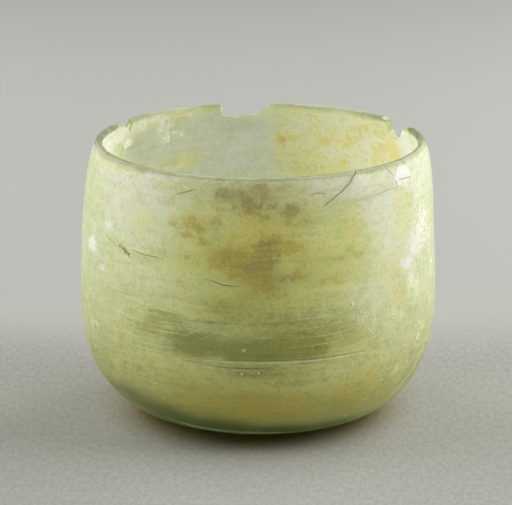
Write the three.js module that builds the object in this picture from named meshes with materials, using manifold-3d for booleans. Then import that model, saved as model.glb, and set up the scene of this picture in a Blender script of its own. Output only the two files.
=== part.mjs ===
// A free-blown bowl of pale green glass, round in plan, with its rim cracked off and rounded.
// Time has broken three losses out of the rim, loosened one sherd of it, and left hard layers of soil and
// of white weathering on the wall. Lengths are in millimetres, angles in degrees, +Z is up. The origin is
// the middle of the flat ring that the bowl rests on. Bearings run anticlockwise from +X, seen from above,
// and the front of the bowl is at -90.

import * as THREE from 'three';
import { mergeVertices } from 'three/addons/utils/BufferGeometryUtils.js';
import Module from 'manifold-3d';

const wasm = await Module();
wasm.setup();

// The blown wall
const BELLY_RADIUS = 50;
const BELLY_HEIGHT = 36;
const RIM_HEIGHT = 77.5;
const FOOT_RADIUS = 20;
const SIDE_DRAWN_IN = 2.3;
const LIP_TURNED_IN = 2.1;
const WALL_THICKNESS = 1.8;
const RIM_THICKNESS = 2.1;
const FLOOR_THICKNESS = 2.8;

// How full the curves are, as powers
const SHOULDER_FULLNESS = 2.45;
const SIDE_POWER = 1.5;
const LIP_POWER = 10;
const SIDE_SPACING_POWER = 0.8;

// Under the floor: a flat ring to rest on, round a shallow dome
const RESTING_RING_WIDTH = 6;
const DOME_RISE = 1.2;

// Two lines that a wheel cut round the lower belly
const CUT_LINES = [
  { height: 27.7, width: 1.1, depth: 0.3 },
  { height: 25.9, width: 0.8, depth: 0.18 },
];

// What every cut and every separate piece needs
const OVERRUN = 3;
const JOINT_GAP = 0.3;
const CRUST_GAP = 0.3;

// Losses along the rim. Each outline is in shares of its width, anticlockwise, and of its depth, down from
// the rim.
const RIM_LOSSES = [
  {
    bearing: 148,
    width: 9.8,
    depth: 4.2,
    outlineShares: [[0, 0], [0.02, 0.94], [0.07, 1], [0.32, 0.62], [0.7, 0.26], [0.96, 0.12], [1, 0]],
  },
  {
    bearing: 93.5,
    width: 15.2,
    depth: 4.1,
    outlineShares: [[0, 0], [0.04, 0.14], [0.17, 0.4], [0.2, 0.75], [0.46, 0.93], [0.66, 1],
      [0.9, 0.99], [0.98, 0.8], [1, 0]],
  },
  {
    bearing: 28.5,
    width: 16,
    depth: 6.1,
    outlineShares: [[0, 0], [0.05, 0.08], [0.3, 0.24], [0.43, 0.46], [0.58, 0.84], [0.68, 1],
      [0.84, 0.91], [0.89, 0.6], [0.9, 0.12], [1, 0]],
  },
];

// The loose sherd between the two cracks at the front right of the rim
const SHERD = {
  bearing: -54,
  width: 25.9,
  depth: 8.1,
  outlineShares: [[0.44, 0], [0.42, 0.08], [0.345, 0.31], [0.25, 0.51], [0.16, 0.69], [0.075, 0.84],
    [0, 1], [0.36, 0.94], [0.62, 0.86], [0.82, 0.79], [1, 0.77], [0.95, 0.47], [0.93, 0.32],
    [0.86, 0.08], [0.84, 0]],
};

// Flakes sprung from the outer face. Top is how far below the rim the flake starts, bite how deep it goes
// into the wall. The flake at the rim starts at the sherd and laps over its edge.
const RIM_FLAKE = {
  lap: 4,
  width: 17,
  height: 6.2,
  top: 0,
  bite: 0.75,
  outlineShares: [[0, -0.5], [0, 0.5], [0.2, 0.95], [0.42, 1], [0.62, 0.72], [0.8, 0.78], [1, 0.35],
    [0.97, -0.5]],
};
const SIDE_CHIP = {
  bearing: -137.3,
  width: 5,
  height: 3.1,
  top: 21.9,
  bite: 1.15,
  outlineShares: [[0, 0.12], [0.18, 0.45], [0.42, 0.74], [0.78, 1], [1, 0.78], [0.86, 0.4], [0.5, 0.16],
    [0.2, 0]],
};

// Hard layers on the wall. Side is 1 on the outer face and -1 on the inner face.
const CRUSTS = {
  soil_crust_back: {
    side: -1,
    bearing: 61,
    width: 38.5,
    height: 20.5,
    top: 2.3,
    thickness: 0.5,
    outlineShares: [[0.06, 0.1], [0, 0.42], [0.05, 0.78], [0.22, 0.92], [0.41, 0.84], [0.6, 1],
      [0.76, 0.9], [0.88, 0.68], [0.93, 0.46], [1, 0.36], [0.97, 0.22], [0.9, 0.13], [0.82, 0.2],
      [0.66, 0.04], [0.44, 0], [0.24, 0.05]],
  },
  soil_crust_front: {
    side: -1,
    bearing: -87,
    width: 32,
    height: 24,
    top: 2.4,
    thickness: 0.45,
    outlineShares: [[0.02, 0.12], [0.07, 0.3], [0, 0.44], [0.14, 0.58], [0.2, 0.8], [0.38, 0.88],
      [0.52, 1], [0.66, 0.86], [0.7, 0.66], [0.86, 0.56], [0.92, 0.36], [1, 0.26], [0.94, 0.06],
      [0.7, 0], [0.46, 0.05], [0.22, 0]],
  },
  white_crust_right: {
    side: 1,
    bearing: -25,
    width: 25.5,
    height: 35,
    top: 8.6,
    thickness: 0.35,
    outlineShares: [[0.3, 0], [0.12, 0.16], [0.16, 0.36], [0, 0.5], [0.08, 0.72], [0.02, 0.88],
      [0.2, 1], [0.4, 0.9], [0.56, 0.96], [0.74, 0.8], [0.84, 0.6], [1, 0.42], [0.9, 0.2], [0.7, 0.12],
      [0.5, 0.03]],
  },
  white_crust_left: {
    side: -1,
    bearing: 151.5,
    width: 12.5,
    height: 8.4,
    top: 1.7,
    thickness: 0.35,
    outlineShares: [[0.04, 0.2], [0, 0.56], [0.16, 0.86], [0.34, 0.94], [0.52, 0.74], [0.74, 1],
      [0.94, 0.82], [1, 0.4], [0.88, 0.08], [0.6, 0], [0.3, 0.06]],
  },
};

// How finely the round is cut
const ROUND_SEGMENTS = 72;
const SHOULDER_STEPS = 9;
const SIDE_STEPS = 7;
const LIP_STEPS = 6;
const DOME_STEPS = 3;

// Materials
const CLEAR_GLASS = { color: 0xc9d3a2, roughness: 0.34, metalness: 0, transparent: true, opacity: 0.82 };
const SOIL = { color: 0xcbbd7e, roughness: 0.95, metalness: 0 };
const WHITE_WEATHERING = { color: 0xeae7d3, roughness: 0.7, metalness: 0 };

const steps = (count) => Array.from({ length: count + 1 }, (_, i) => i / count);
const radians = THREE.MathUtils.degToRad;
const degrees = THREE.MathUtils.radToDeg;

// Radius of a face at a height: full below the belly, a power curve drawn in towards the rim above it.
function faceRadius(height, foot, belly, bottom) {
  if (height < BELLY_HEIGHT) {
    const down = Math.min((BELLY_HEIGHT - height) / (BELLY_HEIGHT - bottom), 1);
    return foot + (belly - foot) * (1 - down ** SHOULDER_FULLNESS) ** (1 / SHOULDER_FULLNESS);
  }
  const up = (height - BELLY_HEIGHT) / (RIM_HEIGHT - BELLY_HEIGHT);
  return belly - SIDE_DRAWN_IN * up ** SIDE_POWER - LIP_TURNED_IN * up ** LIP_POWER;
}

const outerRadius = (height) => faceRadius(height, FOOT_RADIUS, BELLY_RADIUS, 0);

// The wall thickens evenly from the belly to the rim.
function innerRadius(height) {
  const up = Math.max((height - BELLY_HEIGHT) / (RIM_HEIGHT - BELLY_HEIGHT), 0);
  const thickening = (RIM_THICKNESS - WALL_THICKNESS) * up;
  return faceRadius(height, FOOT_RADIUS, BELLY_RADIUS - WALL_THICKNESS, FLOOR_THICKNESS) - thickening;
}

// Heights that follow a face closely, from its bottom to just below the lip.
function faceHeights(bottom) {
  const shoulder = steps(SHOULDER_STEPS).map((s) => {
    const turn = Math.cos(s * Math.PI / 2) ** (2 / SHOULDER_FULLNESS);
    return BELLY_HEIGHT - (BELLY_HEIGHT - bottom) * turn;
  });
  const lipBottom = RIM_HEIGHT - RIM_THICKNESS / 2;
  const side = steps(SIDE_STEPS).slice(1).map((s) => {
    return BELLY_HEIGHT + (lipBottom - BELLY_HEIGHT) * s ** SIDE_SPACING_POWER;
  });
  return [...shoulder, ...side];
}

// Outer face from foot to lip, as radius and height, with the cut lines let into it.
function outerFace() {
  const clear = (z) => CUT_LINES.every((line) => Math.abs(z - line.height) > line.width / 2);
  const plain = faceHeights(0).filter(clear);
  const points = plain.map((z) => new THREE.Vector2(outerRadius(z), z));
  for (const { height, width, depth } of CUT_LINES) {
    points.push(new THREE.Vector2(outerRadius(height - width / 2), height - width / 2));
    points.push(new THREE.Vector2(outerRadius(height) - depth, height));
    points.push(new THREE.Vector2(outerRadius(height + width / 2), height + width / 2));
  }
  return points.sort((a, b) => a.y - b.y);
}

// The rounded rim: an arc over the wall, from its outer to its inner face.
function lip() {
  const height = RIM_HEIGHT - RIM_THICKNESS / 2;
  const outer = outerRadius(height);
  const inner = innerRadius(height);
  const middle = (outer + inner) / 2;
  return steps(LIP_STEPS).slice(1, -1).map((s) => {
    const turn = s * Math.PI;
    const radius = middle + (outer - inner) / 2 * Math.cos(turn);
    return new THREE.Vector2(radius, height + RIM_THICKNESS / 2 * Math.sin(turn));
  });
}

// Half the bowl's section, from the middle of the dome under the floor round to the middle of the floor.
function section() {
  const domeRadius = FOOT_RADIUS - RESTING_RING_WIDTH;
  const dome = steps(DOME_STEPS).map((s) => new THREE.Vector2(domeRadius * s, DOME_RISE * (1 - s ** 2)));
  const inner = faceHeights(FLOOR_THICKNESS).reverse().map((z) => new THREE.Vector2(innerRadius(z), z));
  const floorMiddle = new THREE.Vector2(0, FLOOR_THICKNESS + DOME_RISE);
  return [...dome, ...outerFace(), ...lip(), ...inner, floorMiddle];
}

// A closed geometry made into a solid: shared corners are joined and triangles with no area left out.
function solid(geometry) {
  geometry.deleteAttribute('normal');
  geometry.deleteAttribute('uv');
  const merged = mergeVertices(geometry);
  const corners = merged.index.array;
  const kept = [];
  for (let i = 0; i < corners.length; i += 3) {
    const [a, b, c] = corners.slice(i, i + 3);
    if (a !== b && b !== c && c !== a) kept.push(a, b, c);
  }
  const vertProperties = new Float32Array(merged.attributes.position.array);
  return new wasm.Manifold(new wasm.Mesh({ numProp: 3, vertProperties, triVerts: new Uint32Array(kept) }));
}

// A section turned about the bowl's axis.
const turned = (points) => solid(new THREE.LatheGeometry(points, ROUND_SEGMENTS).rotateX(Math.PI / 2));

// An outline in shares, placed: across the bearing anticlockwise, and height above the ground.
// Points at a share of nothing down from the rim are lifted clear over it.
function placed({ width, height, depth, top = 0, outlineShares }) {
  const rise = height ?? depth;
  return outlineShares.map(([across, down]) => {
    const opensAtRim = top === 0 && down <= 0;
    const z = opensAtRim ? RIM_HEIGHT + OVERRUN : RIM_HEIGHT - top - rise * down;
    return new THREE.Vector2(width * (across - 0.5), z);
  });
}

// The same outline moved outwards by a gap: each corner goes along the meeting of its two moved edges.
function grown(outline, gap) {
  const sense = Math.sign(THREE.ShapeUtils.area(outline));
  return outline.map((point, i) => {
    const before = outline.at(i - 1);
    const after = outline[(i + 1) % outline.length];
    const inward = point.clone().sub(before).normalize();
    const onward = after.clone().sub(point).normalize();
    const normal = new THREE.Vector2(inward.y + onward.y, -inward.x - onward.x).normalize();
    const mitre = normal.dot(new THREE.Vector2(onward.y, -onward.x));
    return point.clone().addScaledVector(normal, sense * gap / mitre);
  });
}

// A prism of an outline, running outwards along a bearing from a distance off the bowl's axis.
function prism(outline, bearing, from = 0) {
  const depth = BELLY_RADIUS + OVERRUN - from;
  const geometry = new THREE.ExtrudeGeometry(new THREE.Shape(outline), { depth, bevelEnabled: false });
  const out = new THREE.Vector3(Math.cos(radians(bearing)), Math.sin(radians(bearing)), 0);
  const up = new THREE.Vector3(0, 0, 1);
  const across = up.clone().cross(out);
  geometry.translate(0, 0, from);
  return solid(geometry.applyMatrix4(new THREE.Matrix4().makeBasis(across, up, out)));
}

// A flake is cut flat, so it runs out to nothing where the round wall turns away.
function flakeCutter(flake, bearing) {
  const middle = RIM_HEIGHT - flake.top - flake.height / 2;
  return prism(placed(flake), bearing, outerRadius(middle) - flake.bite);
}

// Where the flake at the rim lies: beside the middle of the sherd, measured along the rim.
function rimFlakeBearing() {
  const along = SHERD.width / 2 - RIM_FLAKE.lap + RIM_FLAKE.width / 2;
  return SHERD.bearing + degrees(along / outerRadius(RIM_HEIGHT));
}

// A layer that follows the wall at a small gap, inside its own outline.
function crustSolid(crust) {
  const { side, thickness, bearing } = crust;
  const outline = placed(crust);
  const radiusAt = side > 0 ? outerRadius : innerRadius;
  const low = Math.min(...outline.map((p) => p.y)) - OVERRUN;
  const high = RIM_HEIGHT - RIM_THICKNESS / 2;
  const heights = steps(SIDE_STEPS).map((s) => low + (high - low) * s);
  const layer = (offset) => heights.map((z) => new THREE.Vector2(radiusAt(z) + side * offset, z));
  const near = layer(CRUST_GAP);
  const far = layer(CRUST_GAP + thickness);
  const [inner, outer] = side > 0 ? [near, far] : [far, near];
  const loop = [...outer, ...inner.reverse()];
  return turned([...loop, loop[0].clone()]).intersect(prism(outline, bearing));
}

// A solid as a named mesh with its own material.
function mesh(name, { vertProperties, triVerts }, look) {
  const geometry = new THREE.BufferGeometry();
  geometry.setAttribute('position', new THREE.BufferAttribute(vertProperties, 3));
  geometry.setIndex(new THREE.BufferAttribute(triVerts, 1));
  geometry.computeVertexNormals();
  const result = new THREE.Mesh(geometry, new THREE.MeshStandardMaterial(look));
  result.name = name;
  return result;
}

const blown = turned(section());

// The glass that is left of the blown bowl, and the sherd in its seat
function glass() {
  const seat = prism(grown(placed(SHERD), JOINT_GAP), SHERD.bearing);
  const losses = RIM_LOSSES.map((loss) => prism(placed(loss), loss.bearing));
  const flakes = [flakeCutter(RIM_FLAKE, rimFlakeBearing()), flakeCutter(SIDE_CHIP, SIDE_CHIP.bearing)];
  const cuts = [seat, ...losses, ...flakes];
  const body = cuts.reduce((left, cut) => left.subtract(cut), blown);
  const sherd = blown.intersect(prism(placed(SHERD), SHERD.bearing));
  const group = new THREE.Group();
  group.add(mesh('vessel_body', body.getMesh(), CLEAR_GLASS));
  group.add(mesh('rim_sherd', sherd.getMesh(), CLEAR_GLASS));
  return group;
}

// The hard layers left on the wall
function crusts() {
  const group = new THREE.Group();
  for (const [name, crust] of Object.entries(CRUSTS)) {
    const look = name.startsWith('soil') ? SOIL : WHITE_WEATHERING;
    group.add(mesh(name, crustSolid(crust).getMesh(), look));
  }
  return group;
}

const bowl = new THREE.Group();
bowl.add(glass(), crusts());

export default bowl;
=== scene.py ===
"""The looks of a weathered bowl of blown glass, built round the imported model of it.

Lengths are in metres, +Z is up, and the front of the bowl faces -Y. Azimuths are in degrees, anticlockwise
from +X seen from above, so the front is at -90. Every surface is worked out from one wall: an outer and an
inner radius at each height, a slow wander of the blower's axis, and a faint swell round the bowl.
"""

import math

import bpy
import numpy as np
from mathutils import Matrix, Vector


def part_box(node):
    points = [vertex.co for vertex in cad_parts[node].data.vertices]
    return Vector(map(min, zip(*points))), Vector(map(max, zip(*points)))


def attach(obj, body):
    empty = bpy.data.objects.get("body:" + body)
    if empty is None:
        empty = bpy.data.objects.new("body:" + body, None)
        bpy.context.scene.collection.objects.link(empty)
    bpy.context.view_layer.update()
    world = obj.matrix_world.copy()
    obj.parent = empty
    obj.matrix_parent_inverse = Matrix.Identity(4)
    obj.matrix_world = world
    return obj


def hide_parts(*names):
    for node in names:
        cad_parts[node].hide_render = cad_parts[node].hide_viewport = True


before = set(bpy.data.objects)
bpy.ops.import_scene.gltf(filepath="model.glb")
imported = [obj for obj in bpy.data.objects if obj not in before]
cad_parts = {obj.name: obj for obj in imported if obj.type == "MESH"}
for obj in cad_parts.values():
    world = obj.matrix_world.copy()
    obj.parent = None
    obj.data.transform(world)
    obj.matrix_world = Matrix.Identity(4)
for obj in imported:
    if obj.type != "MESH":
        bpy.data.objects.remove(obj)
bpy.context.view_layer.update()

MM = 0.001
BODY = "root"
BODY_LOW, BODY_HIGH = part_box("vessel_body")

# The blown wall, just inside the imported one's size
ROOM_FOR_CRUST = 0.25 * MM
BELLY_RADIUS = (BODY_HIGH.x - BODY_LOW.x) / 2 - ROOM_FOR_CRUST
RIM_HEIGHT = BODY_HIGH.z
BELLY_HEIGHT = 36 * MM
FOOT_RADIUS = 20 * MM
SIDE_DRAWN_IN = 2.3 * MM
LIP_TURNED_IN = 2.1 * MM
WALL_THICKNESS = 1.8 * MM
RIM_THICKNESS = 2.1 * MM
FLOOR_THICKNESS = 2.8 * MM
RESTING_RING_WIDTH = 6 * MM
DOME_RISE = 1.2 * MM
SHOULDER_FULLNESS = 2.45
SIDE_POWER = 1.5
LIP_POWER = 10

# How the blown shape strays from a turned one: the axis by height, and the swell of the wall
WANDER_HEIGHTS = (0, 8 * MM, 16 * MM, 33 * MM, 50 * MM, RIM_HEIGHT)
WANDER_X = (0.7 * MM, 0.25 * MM, -0.1 * MM, -0.05 * MM, -0.05 * MM, 0.6 * MM)
SWELL = 0.16 * MM

# Lines that a wheel cut round the lower belly: height, half width and depth
CUT_LINES = (
    (27.7 * MM, 0.45 * MM, 0.28 * MM),
    (25.9 * MM, 0.3 * MM, 0.16 * MM),
)

# Losses along the rim: azimuth of the middle, width, depth, and the outline in shares of width and depth
RIM_LOSSES = (
    (151.3, 9.8 * MM, 4.2 * MM,
     ((0, 0), (0.01, 0.94), (0.07, 1), (0.32, 0.62), (0.7, 0.26), (0.96, 0.12), (1, 0))),
    (94.8, 15.2 * MM, 4.1 * MM,
     ((0, 0), (0.04, 0.14), (0.17, 0.4), (0.2, 0.75), (0.46, 0.93), (0.66, 1), (0.9, 0.99), (0.985, 0.8),
      (1, 0))),
    (27.6, 16 * MM, 6.1 * MM,
     ((0, 0), (0.05, 0.08), (0.3, 0.24), (0.43, 0.46), (0.58, 0.84), (0.68, 1), (0.84, 0.91), (0.89, 0.6),
      (0.9, 0.12), (1, 0))),
)
BREAK_ROUGHNESS = 0.12 * MM

# The sherd at the front right: azimuths of its cracks by height, and heights of its lower edge
LEFT_CRACK = (
    (69.4 * MM, -69.3), (70.7 * MM, -67.1), (71.9 * MM, -64.5), (73.35 * MM, -61.8), (75 * MM, -58.8),
    (RIM_HEIGHT, -55.8),
)
RIGHT_CRACK = (
    (71.2 * MM, -38.2), (73.7 * MM, -39.5), (74.9 * MM, -40.2), (76.5 * MM, -42), (RIM_HEIGHT, -43),
)
SHERD_LOW_SHARES = (0, 0.36, 0.62, 0.82, 1)
SHERD_LOW = (69.4 * MM, 69.9 * MM, 70.5 * MM, 71.1 * MM, 71.3 * MM)
JOINT_GAP = 0.02 * MM
# Where the columns' bend along each crack ends: an azimuth, and a height below
LEFT_BEND_ENDS = (-104, 56 * MM)
RIGHT_BEND_ENDS = (-6, 58 * MM)

# Flakes sprung off the outer face: azimuth, height, half width, half height, depth and tilt in degrees
FLAKES = (
    (-34, 74.4 * MM, 5.0 * MM, 2.4 * MM, 0.2 * MM, 8),
    (-137.6, 53.9 * MM, 2.3 * MM, 0.7 * MM, 0.9 * MM, -34),
)

# The glass's mesh: columns, and rows up the dome, across the ring, up each face's shoulder and side, and over
# the lip
COLUMNS = 480
DOME_ROWS = 7
RING_ROWS = 2
OUTER_ROWS = (25, 44)
INNER_ROWS = (23, 33)
LIP_ROWS = 13
# Closer rows of the outer face: where it's scratched, and over some half widths of each cut line
SCRATCHED_HEIGHTS = (28.5 * MM, 44 * MM)
SCRATCHED_ROWS = 23
CUT_LINE_ROWS = 9
CUT_LINE_REACH = 1.6
# Degrees that a steep step of the rim takes up
STEP_AZIMUTH = 0.03
# The broken edge: from where the rows are pressed down to it, how far it's rounded, and how square it is
PRESSED_FROM = 69.15 * MM
BREAK_EDGE = 0.12 * MM
BREAK_SQUARENESS = 0.25
# The sherd's mesh, and the height from which its seat has side walls
SHERD_COLUMNS = 40
SHERD_ROWS = 26
SHERD_LOW_ROWS = 4
SEAT_FROM = 69 * MM
# Material slots of the glass, in the order of GLASS_LOOKS, and the faces of the wall
SKIN_SLOT, BREAK_SLOT, JOINT_SLOT = 0, 1, 2
OUTER, INNER, BOTH = 1, -1, 0

# The noise's lattice: values each way, and the shift of each octave
LATTICE = 32
OCTAVE_SHIFT = 11.3


def smooth(low, high, value):
    """A soft step: 0 up to low, 1 from high, and 3t^2 - 2t^3 between them."""
    t = np.clip((value - low) / (high - low), 0, 1)
    return t * t * (3 - 2 * t)


def lattice_noise(points, size, seed, octaves):
    """Noise between about -1 and 1: random values on a cubic lattice, blended smoothly, with each octave at
    half the size and strength."""
    values = np.random.default_rng(seed).uniform(-1, 1, (LATTICE, LATTICE, LATTICE))
    total = np.zeros(len(points))
    for octave in range(octaves):
        p = points / (size / 2 ** octave) + OCTAVE_SHIFT * octave
        cell = np.floor(p).astype(int)
        f = p - cell
        f = f * f * (3 - 2 * f)
        for corner in range(8):
            step = np.array([corner & 1, corner >> 1 & 1, corner >> 2 & 1])
            weight = np.prod(np.where(step, f, 1 - f), axis=1)
            i, j, k = ((cell + step) % LATTICE).T
            total += weight * values[i, j, k] / 2 ** octave
    return total


def face_radius(z, belly, bottom):
    """Radius of a face: a full curve from the foot to the belly, then a power curve drawn in to the rim."""
    down = np.clip((BELLY_HEIGHT - z) / (BELLY_HEIGHT - bottom), 0, 1)
    low = FOOT_RADIUS + (belly - FOOT_RADIUS) * (1 - down ** SHOULDER_FULLNESS) ** (1 / SHOULDER_FULLNESS)
    up = np.clip((z - BELLY_HEIGHT) / (RIM_HEIGHT - BELLY_HEIGHT), 0, 1.05)
    high = belly - SIDE_DRAWN_IN * up ** SIDE_POWER - LIP_TURNED_IN * up ** LIP_POWER
    return np.where(z < BELLY_HEIGHT, low, high)


def outer_radius(z):
    """The outer face."""
    return face_radius(z, BELLY_RADIUS, 0)


def inner_radius(z):
    """The inner face: the wall thickens evenly from the belly to the rim."""
    up = np.clip((z - BELLY_HEIGHT) / (RIM_HEIGHT - BELLY_HEIGHT), 0, 1)
    face = face_radius(z, BELLY_RADIUS - WALL_THICKNESS, FLOOR_THICKNESS)
    return face - (RIM_THICKNESS - WALL_THICKNESS) * up


def at_wall(azimuth, z, radius):
    """Points of the blown wall, round the wandering axis, with a swell of three and five lobes that leaves
    the foot alone."""
    a = np.radians(azimuth)
    lobes = np.sin(3 * a + 0.7) + 0.6 * np.sin(5 * a + 2.1 + z / (22 * MM))
    r = radius + SWELL * lobes * smooth(0, 24 * MM, z) * smooth(0, 30 * MM, radius)
    x = np.interp(z, WANDER_HEIGHTS, WANDER_X)
    return np.stack([x + r * np.cos(a), r * np.sin(a), z + 0 * a], axis=-1)


def crack_azimuth(crack, z):
    """Azimuth of a crack at a height."""
    heights, azimuths = zip(*crack)
    return np.interp(z, heights, azimuths)


def bend(azimuth, z):
    """Bends the columns of the mesh to follow the two cracks: by a crack's own lean at the crack, and not at
    all at the other crack, at the end of the bend and below it."""
    left, right = LEFT_CRACK[-1][1], RIGHT_CRACK[-1][1]
    shift = 0
    for crack, at, other, (end, floor) in ((LEFT_CRACK, left, right, LEFT_BEND_ENDS),
                                           (RIGHT_CRACK, right, left, RIGHT_BEND_ENDS)):
        lean = crack_azimuth(crack, z) - at
        near = np.interp(azimuth, sorted((end, at, other)), (0, 1, 0))
        shift = shift + lean * near * smooth(floor, crack[0][0], z)
    return azimuth + shift


def loss_outline(middle, width, outline):
    """Azimuths along a loss in the rim, and its depth at each as a share."""
    across, down = np.array(outline).T
    return middle + np.degrees((across - 0.5) * width / outer_radius(RIM_HEIGHT)), down


def rim_depths(azimuth):
    """How far the rim is broken down at each azimuth, along the outlines of the losses."""
    depth = np.zeros(len(azimuth))
    for middle, width, deep, outline in RIM_LOSSES:
        at, down = loss_outline(middle, width, outline)
        depth = np.maximum(depth, np.interp(azimuth, at, down * deep, left=0, right=0))
    return depth


def seat_edges(gap=0.0):
    """Azimuths at the rim of the sherd's two sides, moved apart by a gap on each side."""
    turn = np.degrees(gap / outer_radius(RIM_HEIGHT))
    return LEFT_CRACK[-1][1] - turn, RIGHT_CRACK[-1][1] + turn


def sherd_low(azimuth):
    """Height of the sherd's lower edge, by the azimuth of a column at the rim."""
    left, right = seat_edges()
    return np.interp((azimuth - left) / (right - left), SHERD_LOW_SHARES, SHERD_LOW)


def break_azimuths():
    """Azimuths where the rim's outline turns, each twice, so that a step stays steep."""
    losses = [loss_outline(middle, width, outline)[0] for middle, width, _, outline in RIM_LOSSES]
    turns = np.concatenate([*losses, seat_edges(JOINT_GAP)])
    return np.concatenate([turns - STEP_AZIMUTH / 2, turns + STEP_AZIMUTH / 2])


def spaced_heights(bottom, shoulder, side):
    """Heights that follow a face: even turns round the shoulder, then steps that close up near the rim."""
    turn = np.cos(np.linspace(0, math.pi / 2, shoulder)) ** (2 / SHOULDER_FULLNESS)
    low = BELLY_HEIGHT - (BELLY_HEIGHT - bottom) * turn
    top = RIM_HEIGHT - RIM_THICKNESS / 2
    high = BELLY_HEIGHT + (top - BELLY_HEIGHT) * np.linspace(0, 1, side) ** 0.8
    return np.concatenate([low, high[1:]])


def outer_heights():
    """Heights of the outer face's rows, closer where it's scratched and across the cut lines."""
    rows = spaced_heights(0, *OUTER_ROWS)
    low, high = SCRATCHED_HEIGHTS
    rows = np.concatenate([rows[(rows < low) | (rows > high)], np.linspace(low, high, SCRATCHED_ROWS)])
    across = CUT_LINE_REACH * np.linspace(-1, 1, CUT_LINE_ROWS)
    extra = [z + half * across for z, half, _ in CUT_LINES]
    return np.sort(np.concatenate([rows, *extra]))


def cut_line_depth(azimuth, z):
    """How deep the cut lines go: a rounded groove, deep at the front and shallow elsewhere."""
    depth = 0
    for i, (height, half, deep) in enumerate(CUT_LINES):
        front = smooth(-119 + 8 * i, -113 + 8 * i, azimuth) * smooth(-46, -58, azimuth)
        fade = 0.1 + 0.9 * front + 0.08 * np.sin(np.radians(azimuth) * (2 + i) + 2.3 * i)
        depth = depth + deep * fade * np.exp(-((z - height) / (half * 0.62)) ** 2)
    return depth


def flake_depth(azimuth, z):
    """How deep the flakes go: a flat floor with a steep, ragged edge, turned by a tilt."""
    depth = 0
    ragged = 0.16 * np.sin(azimuth * 1.7 + 3 * z / MM) + 0.1 * np.sin(azimuth * 4.1 - 2.2 * z / MM)
    for middle, height, wide, high, deep, tilt in FLAKES:
        across, up = np.radians(azimuth - middle) * BELLY_RADIUS, z - height
        c, d = math.cos(math.radians(tilt)), math.sin(math.radians(tilt))
        u, v = (c * across + d * up) / wide, (c * up - d * across) / high
        depth = depth + deep * smooth(1.15, 0.8, np.hypot(u, v) + ragged)
    return depth


def lip_rows(outer, inner, edge, drop, squareness):
    """Radii and heights of the rows over the lip, and how far up it each lies: it's round with a squareness
    of 1, and squarer with less."""
    turn = np.linspace(0, math.pi, LIP_ROWS + 2)[1:-1, None]
    across = np.sign(np.cos(turn)) * np.abs(np.cos(turn)) ** squareness
    over = np.sin(turn) ** squareness
    return (outer + inner) / 2 + (outer - inner) / 2 * across, edge + drop * over, over


def wall_grid(azimuth, top, broken):
    """The glass as a grid of rows by columns: from the middle of the dome under the floor up the outer face,
    over the lip and down the inner face to the middle of the floor. Near the rim the rows are pressed down to
    each column's top."""
    drop = np.where(broken, BREAK_EDGE, RIM_THICKNESS / 2)
    nominal_top = RIM_HEIGHT - RIM_THICKNESS / 2
    edge = top - drop

    def pressed(z):
        share = np.clip((z[:, None] - PRESSED_FROM) / (nominal_top - PRESSED_FROM), 0, None)
        return np.where(share > 0, PRESSED_FROM + share * (edge - PRESSED_FROM), z[:, None])

    rows = []
    dome_radius = FOOT_RADIUS - RESTING_RING_WIDTH
    share = np.linspace(0, 1, DOME_ROWS + 1)[1:]
    ring = np.linspace(1, FOOT_RADIUS / dome_radius, RING_ROWS + 2)[1:-1]
    under_r = dome_radius * np.concatenate([share, ring])
    under_z = DOME_RISE * np.concatenate([1 - share ** 2, 0 * ring])
    rows.append(at_wall(azimuth, under_z[:, None], under_r[:, None]))

    z = pressed(outer_heights())
    a = bend(azimuth, z)
    r = outer_radius(z) - cut_line_depth(a, z) - flake_depth(a, z) * ~broken
    rows.append(at_wall(a, z, r))

    outer_edge = outer_radius(edge) - flake_depth(bend(azimuth, edge), edge) * ~broken
    squareness = np.where(broken, BREAK_SQUARENESS, 1.0)
    r, z, over = lip_rows(outer_edge, inner_radius(edge), edge, drop, squareness)
    a = bend(azimuth, z)
    rough = lattice_noise(at_wall(a, z, r).reshape(-1, 3), 1.6 * MM, 5, 3).reshape(z.shape)
    z = z + np.where(broken, BREAK_ROUGHNESS * rough * over, 0)
    rows.append(at_wall(a, z, r))

    z = pressed(spaced_heights(FLOOR_THICKNESS, *INNER_ROWS)[::-1])
    a = bend(azimuth, z)
    rows.append(at_wall(a, z, inner_radius(z)))
    floor_share = np.linspace(1, 0, DOME_ROWS + 1)[1:-1]
    floor_z = FLOOR_THICKNESS + DOME_RISE * (1 - floor_share ** 2)
    rows.append(at_wall(azimuth, floor_z[:, None], FOOT_RADIUS * floor_share[:, None]))
    return np.concatenate(rows)


def grid_faces(rows, columns, wrap_rows=False, wrap_columns=True):
    """Four-cornered faces of a grid, facing outwards where rows climb and columns go round."""
    i = np.arange(rows if wrap_rows else rows - 1)
    j = np.arange(columns if wrap_columns else columns - 1)
    i, j = (g.ravel() for g in np.meshgrid(i, j, indexing="ij"))
    up, on = (i + 1) % rows, (j + 1) % columns
    return np.stack([i * columns + j, i * columns + on, up * columns + on, up * columns + j], axis=1)


def fan_faces(loop, centre):
    """Three-cornered faces from a loop of corners to one centre."""
    return np.stack([loop, np.roll(loop, -1), np.full(len(loop), centre)], axis=1)


def put(name, data):
    """A new object in the scene."""
    made = bpy.data.objects.new(name, data)
    bpy.context.scene.collection.objects.link(made)
    return made


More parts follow.
